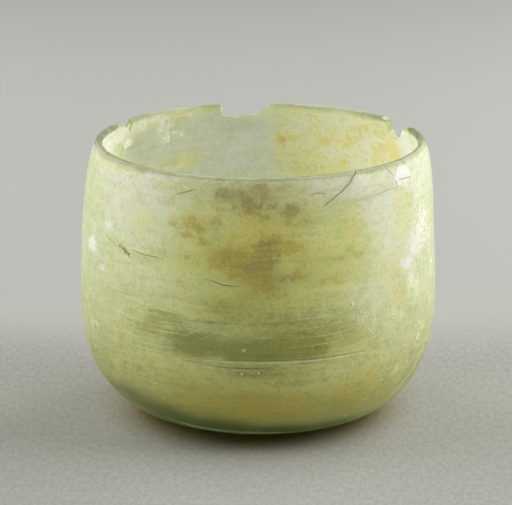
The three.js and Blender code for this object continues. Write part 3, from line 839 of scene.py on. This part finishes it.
def keep_glass_values(look):
    """Keeps the noises and finishes, and what is worked out from them."""
    kept = look.kept
    for name, row in NOISES.items():
        kept[name] = look.noise(*row)
    kept["mottle"] = look.total(0, *MOTTLE)
    for name, row in FINISHES.items():
        kept[name] = look.patchy(name, *row)
    kept["line"], kept["glint"] = crack_lines(look)
    kept["bright"] = scratch_lines(look)
    # painted highlights along the cracks and the foot, together with the real bright scratches
    kept["scratches_and_highlights"] = look.math("MAXIMUM", look.times("glint", 0.6), look.times("bright", 0.95))
    kept["lines"] = look.times("scratched", look.step("streak", 0.14, 0.42))
    kept["worn"] = look.times("scratched", look.step("streak", -0.1, -0.4))
    # painted shade: worn patches darkened for the dark inside seen through them
    kept["bare_painted_shade"] = look.step(look.total(0, ("bare", 1), ("mottle", -0.25)), 0.1, 1)
    # the worn foot greener and darker: partly its thick green glass, partly painted shade
    kept["foot_green_and_painted_shade"] = look.times("bare", look.step("height", 0.15, 0.05))
    # painted shade on the top of the rim
    kept["rim"] = look.step("height", 0.985, 0.996)
    kept["creamy"] = look.total(0, ("cream", 1), ("blotch", 0.4), ("mottle", 0.2))
    calm = look.step("height", 0.2, 0.08, 1, 0.25)
    grime = look.step(look.total(0, ("mottle", 1), ("cream", 0.15)), 0.35, -0.6)
    kept["grime"] = look.times(calm, grime)
    kept["film"] = look.total(
        0.5, ("cream", 0.4), ("bare", -0.45), ("clear", -0.85), ("cloud", 0.1), ("lines", 0.12),
        ("worn", -0.15), (look.times("mottle", calm), 0.25), (look.step("height", 0.9, 0.96), 0.2))


def skin_colour(look):
    """The colour of the glass, of the milky film on it, and of the layers on both."""
    for name, (value, low, high, first, second) in SHADES.items():
        look.kept[name] = look.blend(look.step(value, low, high), first, second)
    # painted shade: the milky film darker and yellower towards the foot
    milk = look.blend(look.step("height", 0.62, 0.1), "milk", (0.88, 0.85, 0.56), "MULTIPLY")
    skin = look.blend(look.step("film", 0.05, 0.7), "glass", milk)
    for how, place, share, colour in LAYERS:
        skin = look.blend(look.times(place, share), skin, colour, how)
    return skin


def skin_cover(look):
    """How far the skin hides the clear glass under it."""
    cover = look.math(
        "MAXIMUM", look.step("film", -0.2, 1.1, 0.12, 0.9), look.step("height", 0.2, 0.05, 0, 0.6))
    for name, share in HIDING:
        cover = look.math("MAXIMUM", cover, look.times(name, share))
    return cover


def glass_look():
    """Pale green blown glass under a milky skin of weathering, worn low at the front, stained with soil, and
    crossed by scratches and cracks."""
    look = Look("weathered_glass")
    keep_glass_values(look)
    skin, cover = skin_colour(look), skin_cover(look)
    dull = look.math("MAXIMUM", look.step(cover, 0, 0.6, 0.25, 0.6), "lip")
    relief = look.total(
        0, (look.times("mottle", look.step(cover, 0.6, 0.9)), 0.5), ("lines", 0.2), ("bright", 0.15),
        ("white", 0.12), ("line", -1.5))
    glass = look.surface(
        Base_Color=skin, Roughness=dull, IOR=1.5, Transmission_Weight=look.math("SUBTRACT", 1.0, cover),
        Normal=look.bump(relief, 0.00014, 0.8), Subsurface_Weight=0.9, Subsurface_Radius=(1, 1, 0.85),
        Subsurface_Scale=0.0035)
    lamplight = look.blend(cover, (0.56, 0.58, 0.44), (0.12, 0.13, 0.08))
    lamplight = look.blend(look.step("height", 0.5, 0.05), lamplight, (0.05, 0.055, 0.03))
    return look.finish(look.lit_through(glass, lamplight))


def broken_glass_look():
    """Fresh green glass where the wall is broken across."""
    look = Look("broken_glass")
    grain = look.noise(900, detail=4, roughness=0.6)
    tint = look.blend(look.step(grain, -0.4, 0.5), (0.60, 0.66, 0.38), (0.80, 0.82, 0.56))
    normal = look.bump(grain, 0.0001, 0.5)
    glass = look.surface(Base_Color=tint, Roughness=0.35, IOR=1.5, Transmission_Weight=0.35, Normal=normal)
    return look.finish(look.lit_through(glass, (0.7, 0.75, 0.55)))


def joint_look():
    """Glass against glass, where the joint can't be seen."""
    look = Look("closed_joint")
    return look.finish(look.surface(Base_Color=(1, 1, 1), Roughness=0.0, IOR=1.0, Transmission_Weight=1.0))


GLASS_LOOKS = (glass_look(), broken_glass_look(), joint_look())


def blown_body():
    """The glass that is left of the bowl."""
    columns = np.concatenate([np.linspace(-180, 180, COLUMNS, endpoint=False), break_azimuths()])
    azimuth = np.sort(np.unique(np.round(columns, 4)))
    depth = rim_depths(azimuth)
    left, right = seat_edges(JOINT_GAP)
    seat = (azimuth > left) & (azimuth < right)
    broken = (depth > 0) | seat
    top = np.where(seat, sherd_low(azimuth) - JOINT_GAP, RIM_HEIGHT - depth)
    grid = wall_grid(azimuth, top, broken)
    rows, count = grid.shape[:2]
    under = [[WANDER_X[0], 0, DOME_RISE]]
    floor = [[WANDER_X[0], 0, FLOOR_THICKNESS + DOME_RISE]]
    points = np.concatenate([grid.reshape(-1, 3), under, floor])
    quads = grid_faces(rows, count)
    first, last = np.arange(count), (rows - 1) * count + np.arange(count)
    faces = [*quads, *fan_faces(first[::-1], rows * count), *fan_faces(last, rows * count + 1)]
    lip_start = DOME_ROWS + RING_ROWS + len(outer_heights())
    row, column = quads[:, 0] // count, quads[:, 0] % count
    following = (column + 1) % count
    on_edge = (row >= lip_start - 1) & (row < lip_start + LIP_ROWS)
    slots = np.where(on_edge & (broken[column] | broken[following]), BREAK_SLOT, SKIN_SLOT)
    slots = np.where(on_edge & (seat[column] | seat[following]), JOINT_SLOT, slots)
    beside_seat = (seat[column] != seat[following]) & (row > DOME_ROWS + RING_ROWS)
    slots = np.where(beside_seat & (points[quads[:, 0], 2] > SEAT_FROM), JOINT_SLOT, slots)
    slots = np.concatenate([slots, np.full(2 * count, SKIN_SLOT)])
    piece = make_piece("blown_body", points, faces, GLASS_LOOKS, slots, flat_slot=JOINT_SLOT)
    side = np.where(np.arange(rows) < lip_start + LIP_ROWS // 2, OUTER, INNER).repeat(count)
    side = np.concatenate([side, [OUTER, INNER]])
    finish_fields(piece, points, side)
    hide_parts("vessel_body")


def rim_sherd():
    """The sherd in its seat: the same wall between the two cracks."""
    azimuth = np.linspace(*seat_edges(), SHERD_COLUMNS)
    low = sherd_low(azimuth)
    edge = np.full(SHERD_COLUMNS, RIM_HEIGHT - RIM_THICKNESS / 2)
    z_out = low + (edge - low) * np.linspace(0, 1, SHERD_ROWS)[:, None]
    r_lip, z_lip, _ = lip_rows(outer_radius(edge), inner_radius(edge), edge, RIM_THICKNESS / 2, 1.0)
    z_in = z_out[::-1]
    across = np.linspace(0, 1, SHERD_LOW_ROWS + 2)[1:-1, None]
    r_under = inner_radius(low) + (outer_radius(low) - inner_radius(low)) * across
    grid = np.concatenate([
        at_wall(bend(azimuth, z_out), z_out, outer_radius(z_out)),
        at_wall(bend(azimuth, z_lip), z_lip, r_lip),
        at_wall(bend(azimuth, z_in), z_in, inner_radius(z_in)),
        at_wall(bend(azimuth, low), low + 0 * across, r_under),
    ])
    rows, count = grid.shape[:2]
    ends = grid[:, [0, -1]].mean(axis=0)
    points = np.concatenate([grid.reshape(-1, 3), ends])
    quads = grid_faces(rows, count, wrap_rows=True, wrap_columns=False)
    first = np.arange(rows) * count
    last = (first + count - 1)[::-1]
    faces = [*quads, *fan_faces(first, rows * count), *fan_faces(last, rows * count + 1)]
    row = quads[:, 0] // count
    slots = np.where(row >= rows - SHERD_LOW_ROWS - 1, JOINT_SLOT, SKIN_SLOT)
    slots = np.concatenate([slots, np.full(2 * rows, JOINT_SLOT)])
    piece = make_piece("loose_sherd", points, faces, GLASS_LOOKS, slots)
    side = np.where(np.arange(rows) <= SHERD_ROWS + LIP_ROWS // 2, OUTER, INNER).repeat(count)
    side = np.concatenate([side, [OUTER, OUTER]])
    finish_fields(piece, points, side)
    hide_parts("rim_sherd")


# Crusts: node, slot, face, azimuths and heights between which it lies, the finish whose patches it takes,
# the field level at which it starts, and its material with its pale and its dark colour
CRUSTS = (
    ("soil_crust_back", "soil_deposit", INNER, (26, 94), (53, 76.6), "golden", 0.96,
     ("ochre_soil", (0.98, 0.92, 0.66), (0.85, 0.76, 0.44))),
    ("soil_crust_front", "soil_stain", INNER, (-114, -64), (44, 76), "stain", 0.6,
     ("brown_stain", (0.90, 0.82, 0.52), (0.80, 0.68, 0.36))),
    ("white_crust_right", "white_weathering", OUTER, (-50, -6), (22, 72), "white", 0.8,
     ("white_weathering", (0.98, 0.97, 0.88), (0.92, 0.90, 0.72))),
    ("white_crust_left", "white_flakes", INNER, (112, 165), (64, 76.6), "white", 0.62,
     ("white_flakes", (0.99, 0.98, 0.93), (0.95, 0.93, 0.82))),
)
CRUST_GRID = 0.24 * MM
CRUST_THICKNESS = 0.1 * MM
CRUST_OFF_WALL = 0.01 * MM


def crust_look(name, pale, dark):
    """A dry, dull deposit, mottled from pale to dark, rough to the touch."""
    look = Look(name)
    fine = look.noise(1500, detail=4, roughness=0.7)
    blotch = look.noise(380, detail=4, roughness=0.65, shift=(2, 9, 4))
    grain = look.total(0, (fine, 0.5), (blotch, 0.6))
    colour = look.blend(look.step(grain, -0.6, 0.5), dark, pale)
    normal = look.bump(grain, 0.0001, 0.8)
    crust = look.surface(Base_Color=colour, Roughness=0.85, Specular_IOR_Level=0.3, Normal=normal)
    return look.finish(look.lit_through(crust, (0.66, 0.62, 0.44)))


def crust_rise(finish, face, a, z, radius):
    """How far a crust's field, raised by noise, rises above nought on a grid."""
    flat = at_wall(a, z, radius).reshape(-1, 3)
    field = patch_field(finish, a.ravel(), z.ravel(), face)
    grain = lattice_noise(flat, 1.9 * MM, 21, 3) * 0.45 + lattice_noise(flat, 0.8 * MM, 8, 2) * 0.4
    return (np.minimum(field, 0.95) + np.where(field > 0.12, grain, -1)).reshape(a.shape)


def plate_faces(rows, columns, on):
    """Faces of closed plates between two grids of points: the cells that are on, and walls along shores."""
    sheet = rows * columns
    quads = grid_faces(rows, columns, wrap_columns=False)[on.ravel()]
    edges = np.concatenate([np.stack([quads[:, i], quads[:, (i + 1) % 4]], axis=1) for i in range(4)])
    coded, back = edges[:, 0] * sheet + edges[:, 1], edges[:, 1] * sheet + edges[:, 0]
    shore = edges[~np.isin(coded, back)]
    walls = np.stack([shore[:, 0], shore[:, 1], shore[:, 1] + sheet, shore[:, 0] + sheet], axis=1)
    return np.concatenate([quads[:, ::-1], quads + sheet, walls])


def crust(node, slot, face, azimuths, heights, finish, level, look):
    """Islands of crust on one face of the wall: the cells of a fine grid where the crust rises above a level,
    as closed plates that thin out towards their shores."""
    columns = int(math.radians(azimuths[1] - azimuths[0]) * BELLY_RADIUS / CRUST_GRID)
    rows = int((heights[1] - heights[0]) * MM / CRUST_GRID)
    a, z = np.meshgrid(np.linspace(*azimuths, columns), np.linspace(*heights, rows) * MM)
    radius = outer_radius(z) if face == OUTER else inner_radius(z)
    rise = crust_rise(finish, face, a, z, radius) - level
    rise[[0, -1]] = rise[:, [0, -1]] = -1
    on = (rise[:-1, :-1] > 0) & (rise[1:, :-1] > 0) & (rise[:-1, 1:] > 0) & (rise[1:, 1:] > 0)
    thick = CRUST_THICKNESS * (0.3 + 0.7 * smooth(0, 0.3, rise))
    base = at_wall(a, z, radius + face * CRUST_OFF_WALL)
    top = at_wall(a, z, radius + face * (2 * CRUST_OFF_WALL + thick))
    points = np.concatenate([base.reshape(-1, 3), top.reshape(-1, 3)])
    faces = plate_faces(rows, columns, on)
    if face == INNER:
        faces = faces[:, ::-1]
    used, faces = np.unique(faces, return_inverse=True)
    piece = make_piece(node + "_film", points[used], faces.reshape(-1, 4), [crust_look(*look)], smooth_to=60)
    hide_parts(node)


# Specks of lime on the outer face: azimuth, height and radius in millimetres
SPECKS = (
    (-125.6, 18.3, 0.5), (-94.3, 31.1, 0.42), (-59.2, 41.8, 0.5), (-54.7, 38.7, 0.4), (-57.8, 40.3, 0.26),
    (-56.3, 39.3, 0.3), (-54, 37.4, 0.3), (-52, 38.8, 0.28), (-55.5, 36.5, 0.24), (-52.7, 33.6, 0.45),
    (-39.4, 38.6, 0.42), (-40.8, 35.7, 0.34), (-40.4, 37.4, 0.26), (-37.8, 36, 0.28), (-41.3, 34.4, 0.22),
    (-47, 24.8, 0.5), (-99.9, 24.7, 0.36), (-97.4, 24.5, 0.22), (-95, 24.3, 0.4), (-91.8, 24.5, 0.24),
    (-89.7, 24.6, 0.36), (-87, 24.4, 0.2), (-54.8, 7.5, 0.45), (-79.2, 22.9, 0.22), (-105, 30.2, 0.24),
    (-60.7, 43.4, 0.24), (-64.6, 17.3, 0.22), (-121.8, 13.1, 0.22),
)


# More of them, strewn at random over the sides and the back: their number, and from where to where
STREWN_SPECKS = 40
STREWN_RANGES = ((-30, 210), (8, 62), (0.2, 0.45))
# A speck's mesh: corners round each ring, and the rings and the height in shares of its radius
SPECK_SIDES = 10
SPECK_RINGS = (0.35, 0.7, 1.0)
SPECK_SWELL = 1.2
SPECK_RISE = 0.35


def speck(azimuth, height, size):
    """Points of a speck of lime: a low ragged dome, ring by ring, then its top and a point under it."""
    turn = np.linspace(0, 2 * math.pi, SPECK_SIDES, endpoint=False)
    share = np.array(SPECK_RINGS)[:, None]
    lobes = 1 + 0.22 * np.sin(2 * turn + azimuth) + 0.12 * np.sin(3 * turn - azimuth)
    reach = size * share * lobes
    a = azimuth + np.degrees(reach * np.cos(turn) * MM / BELLY_RADIUS)
    z = (height + reach * np.sin(turn)) * MM
    rise = (SPECK_RISE * size * (1 - share ** 2) - 0.03) * MM
    rings = at_wall(a, z, outer_radius(z) + rise).reshape(-1, 3)
    middle = np.full(2, height * MM)
    ends = np.array([SPECK_RISE * size * MM, -0.1 * MM])
    return [*rings, *at_wall(np.full(2, azimuth), middle, outer_radius(middle) + ends)]


def specks():
    """All the specks of lime, each closed underneath."""
    rng = np.random.default_rng(6)
    strewn = [tuple(rng.uniform(*ends) for ends in STREWN_RANGES) for _ in range(STREWN_SPECKS)]
    rings = len(SPECK_RINGS)
    points, faces = [], []
    for azimuth, height, size in (*SPECKS, *strewn):
        start = len(points)
        points += speck(azimuth, height, SPECK_SWELL * size)
        quads = grid_faces(rings, SPECK_SIDES) + start
        inner = start + np.arange(SPECK_SIDES)
        outer = inner + (rings - 1) * SPECK_SIDES
        top = start + rings * SPECK_SIDES
        faces += [*quads[:, ::-1], *fan_faces(inner, top), *fan_faces(outer[::-1], top + 1)]
    lime = crust_look("lime", (0.95, 0.94, 0.74), (0.88, 0.86, 0.60))
    make_piece("lime_specks", np.array(points), faces, [lime])


# The floor: its side, how deep in the picture it turns from near to the band and from the band to far, and
# the
# grey of each: the near floor painted lighter, a painted light, and the band a painted shadow behind the
# bowl;
# and the tints of its grain and of the warm painted shadow under the bowl, which reaches this far
FLOOR_SIDE = 6.0
FLOOR_TURNS = (-0.005, 0.045, 0.1)
LIT_NEAR_GREY, SHADOW_BAND_GREY, FAR_GREY = (0.437, 0.436, 0.402), (0.375, 0.375, 0.350), (0.393, 0.393, 0.367)
GRAIN_TINT, SHADE_TINT = (0.84, 0.84, 0.82), (0.65, 0.55, 0.35)
SHADE_REACH = (0.048, 0.030)
# The soft lamps: side of each, then name, place, aim and watts; and the strength of the sky
LAMP_SIDE = 0.55
LAMPS = (
    ("left_high", (-0.68, -0.02, 0.5), (0, 0, 0.03), 3.5),
    ("right_high", (0.68, -0.02, 0.5), (0, 0, 0.03), 5.0),
    ("left_back", (-0.55, 0.5, 0.45), (0, 0.05, 0.03), 3.45),
    ("right_back", (0.55, 0.5, 0.45), (0, 0.05, 0.03), 4.45),
)
SKY_STRENGTH = 0.09


def stage():
    """A pale floor with a fine grain in front, painted lighter in front, with a band of painted shadow behind
    the bowl's middle, and a darker, warmer painted shadow under the bowl.
    """
    look = Look("pale_floor")
    depth = look.node("SeparateXYZ", {0: look.place}).outputs["Y"]
    near, deep, far = FLOOR_TURNS
    # painted light on the near floor, and a band of painted shadow behind the bowl
    front = look.blend(look.step(depth, near, deep), LIT_NEAR_GREY, SHADOW_BAND_GREY)
    grain = look.noise(800, (1, 0.4, 1), 3.0, 0.7, (3, 1, 0))
    front = look.blend(look.step(grain, -0.4, 0.4), front, GRAIN_TINT, "MULTIPLY")
    pale = look.blend(look.step(depth, deep, far), front, FAR_GREY)
    # painted shadow: darker and warmer under the bowl
    away = look.node("VectorMath", {0: look.place}, operation="LENGTH").outputs["Value"]
    pale = look.blend(look.step(away, *SHADE_REACH), pale, SHADE_TINT, "MULTIPLY")
    material = look.finish(look.surface(Base_Color=pale, Roughness=0.9, Specular_IOR_Level=0.2))
    half = FLOOR_SIDE / 2
    corners = [(-half, -half, 0), (half, -half, 0), (half, half, 0), (-half, half, 0)]
    mesh = bpy.data.meshes.new("floor")
    mesh.from_pydata(corners, [], [(0, 1, 2, 3)])
    mesh.materials.append(material)
    floor = put("floor", mesh)


def area_lamp(name, place, aim, watts):
    """A soft square lamp that faces a point."""
    data = bpy.data.lights.new(name, "AREA")
    data.shape = "SQUARE"
    data.size = LAMP_SIDE
    data.energy = watts
    lamp = put(name, data)
    lamp.location = place
    direction = np.array(aim) - np.array(place)
    pitch = math.atan2(math.hypot(direction[0], direction[1]), -direction[2])
    lamp.rotation_euler = (pitch, 0, math.atan2(direction[1], direction[0]) - math.pi / 2)


def lights():
    """Soft lamps at both sides and behind on both sides, under a faint even sky."""
    world = bpy.data.worlds.new("studio")
    world.use_nodes = True
    sky = world.node_tree.nodes["Background"].inputs
    sky["Color"].default_value = (1, 1, 1, 1)
    sky["Strength"].default_value = SKY_STRENGTH
    bpy.context.scene.world = world
    for row in LAMPS:
        area_lamp(*row)


# The camera, fitted to the photograph: pixels are of its 512 by 505 frame
PHOTO_SIZE = (512, 505)
FOCAL_PIXELS = 3381.3
CAMERA_DISTANCE = 0.95
CAMERA_ELEVATION = math.radians(15.65)
MIDDLE_PIXEL = (258.0, 272.9)
SENSOR_WIDTH = 36.0


def camera():
    """The photograph's camera, aimed so that the bowl's middle falls on its own pixel."""
    data = bpy.data.cameras.new("camera")
    data.sensor_width = SENSOR_WIDTH
    data.lens = FOCAL_PIXELS / PHOTO_SIZE[0] * SENSOR_WIDTH
    made = put("camera", data)
    made.location = (0, -CAMERA_DISTANCE * math.cos(CAMERA_ELEVATION),
                     RIM_HEIGHT / 2 + CAMERA_DISTANCE * math.sin(CAMERA_ELEVATION))
    turn = math.atan((MIDDLE_PIXEL[0] - PHOTO_SIZE[0] / 2) / FOCAL_PIXELS)
    tilt = math.atan((MIDDLE_PIXEL[1] - PHOTO_SIZE[1] / 2) / FOCAL_PIXELS)
    made.rotation_euler = (math.pi / 2 - CAMERA_ELEVATION + tilt, 0, turn)
    bpy.context.scene.camera = made


camera()
lights()
stage()
blown_body()
rim_sherd()
for row in CRUSTS:
    crust(*row)
specks()

scene = bpy.context.scene
scene.view_settings.view_transform = "Standard"
scene.cycles.use_denoising = True
scene.cycles.max_bounces = 16
scene.cycles.transmission_bounces = 14
scene.cycles.diffuse_bounces = 5
